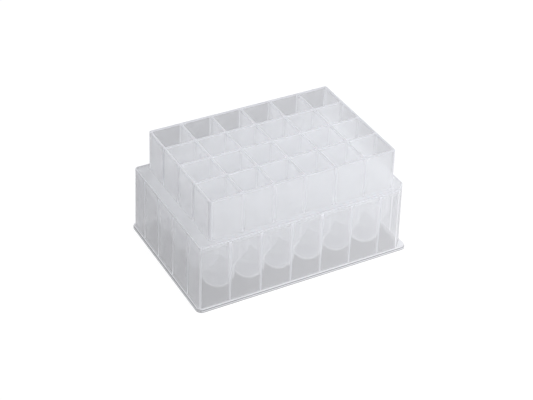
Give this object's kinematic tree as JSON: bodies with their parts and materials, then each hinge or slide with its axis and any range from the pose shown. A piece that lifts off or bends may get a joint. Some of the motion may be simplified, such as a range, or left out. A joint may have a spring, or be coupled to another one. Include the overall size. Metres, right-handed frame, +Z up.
{
  "type": "deep well plate",
  "caption": "Tall translucent laboratory plate with a grid of square wells with round bottoms, a shouldered skirt and a stepped foot.",
  "frame": {"origin": "centre of the underside of the foot, on the surface the plate stands on", "axes": "+X along the long side, +Y along the short side, +Z up out of the wells"},
  "size_m": [0.1278, 0.0854, 0.064],
  "materials": {
    "natural_polypropylene": "frosted translucent, satin"
  },
  "bodies": {
    "root": {"well_plate": "natural_polypropylene"}
  },
  "joints": []
}
